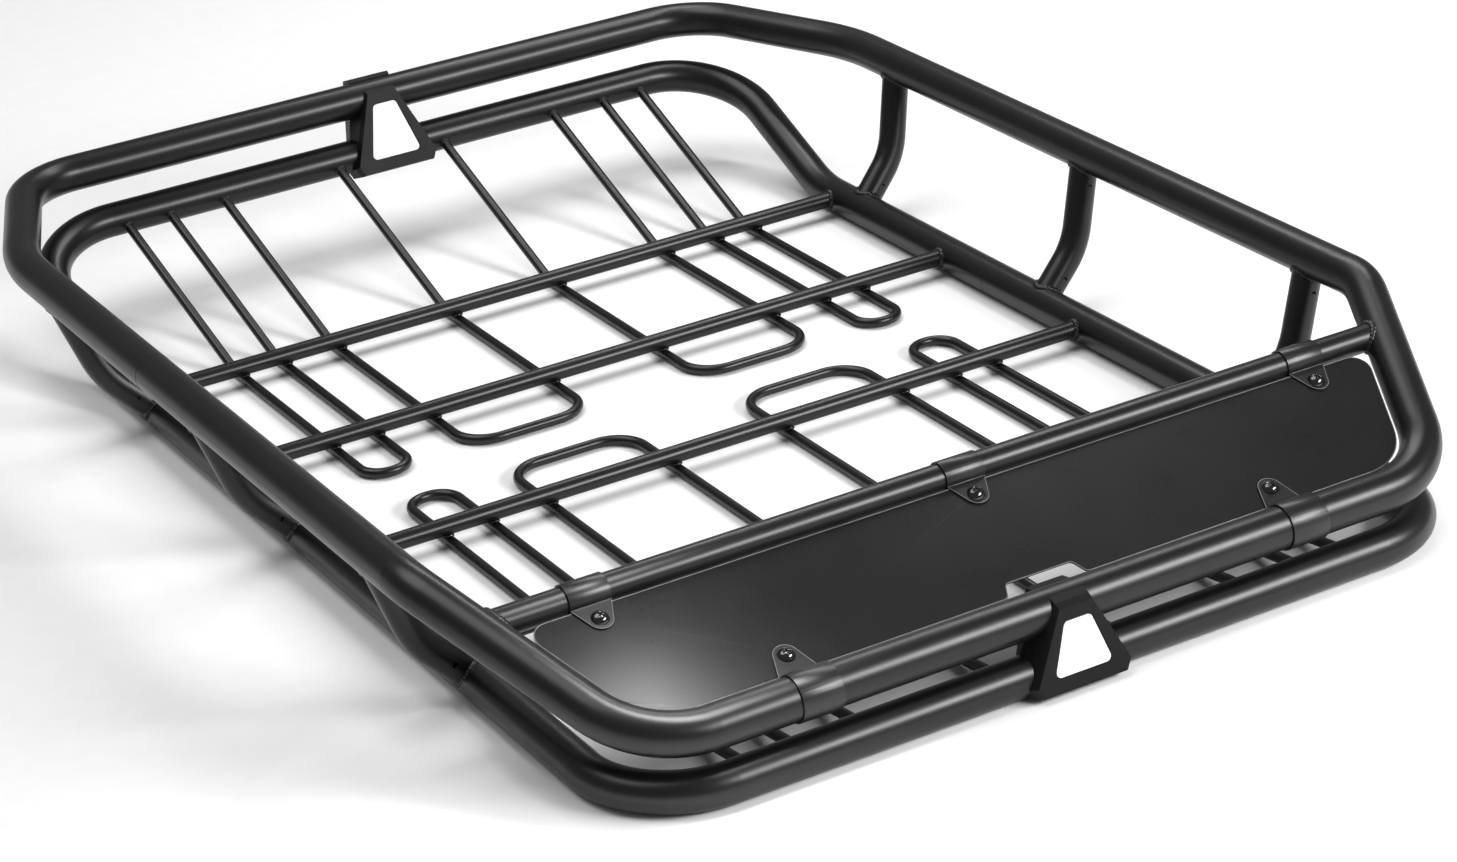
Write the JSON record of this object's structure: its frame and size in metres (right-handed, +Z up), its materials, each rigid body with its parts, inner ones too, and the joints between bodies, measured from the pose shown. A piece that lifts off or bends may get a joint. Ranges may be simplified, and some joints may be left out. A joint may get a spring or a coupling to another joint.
{
  "type": "roof cargo basket",
  "caption": "Open roof cargo basket: two stacked black tube hoops on bent uprights, rod floor with cross bars, sloping front fairing panel and plastic end clamps.",
  "frame": {"origin": "middle of the basket in plan, at the underside of the lower side rails", "axes": "+X across the width to the right, +Y towards the rear end, +Z up; the fairing is at -Y"},
  "size_m": [1.0078, 1.3647, 0.1757],
  "materials": {
    "coated_steel": "satin black powder coat, very fine grain",
    "fairing_sheet": "fine textured black powder coat",
    "clip_sheet": "satin black",
    "black_screws": "gloss black",
    "plated_fasteners": "plain plated",
    "sleeve_steel": "plain drawn",
    "clamp_plastic": "matte moulded",
    "badge_plate": "smooth white, blank"
  },
  "bodies": {
    "root": {"bar_left_clip": "clip_sheet", "bar_middle_clip": "clip_sheet", "bar_right_clip": "clip_sheet", "fairing_bar": "coated_steel", "fairing_nuts": "plated_fasteners", "fairing_panel": "fairing_sheet", "fairing_screws": "black_screws", "front_clamp_back": "clamp_plastic", "front_clamp_badge": "badge_plate", "front_clamp_bolts": "plated_fasteners", "front_clamp_face": "clamp_plastic", "front_inner_cross_bar": "coated_steel", "front_left_inner_rod": "coated_steel", "front_left_outer_rod": "coated_steel", "front_lower_hoop": "coated_steel", "front_outer_cross_bar": "coated_steel", "front_right_inner_rod": "coated_steel", "front_right_outer_rod": "coated_steel", "front_upper_hoop": "coated_steel", "joint_screws": "plated_fasteners", "left_front_upright": "coated_steel", "left_middle_upright": "coated_steel", "left_rear_upright": "coated_steel", "lower_left_joint_sleeve": "sleeve_steel", "lower_right_joint_sleeve": "sleeve_steel", "rail_left_clip": "clip_sheet", "rail_right_clip": "clip_sheet", "rear_clamp_back": "clamp_plastic", "rear_clamp_badge": "badge_plate", "rear_clamp_bolts": "plated_fasteners", "rear_clamp_face": "clamp_plastic", "rear_inner_cross_bar": "coated_steel", "rear_left_inner_rod": "coated_steel", "rear_left_outer_rod": "coated_steel", "rear_lower_hoop": "coated_steel", "rear_outer_cross_bar": "coated_steel", "rear_right_inner_rod": "coated_steel", "rear_right_outer_rod": "coated_steel", "rear_upper_hoop": "coated_steel", "right_front_upright": "coated_steel", "right_middle_upright": "coated_steel", "right_rear_upright": "coated_steel", "upper_left_joint_sleeve": "sleeve_steel", "upper_right_joint_sleeve": "sleeve_steel"}
  },
  "joints": []
}
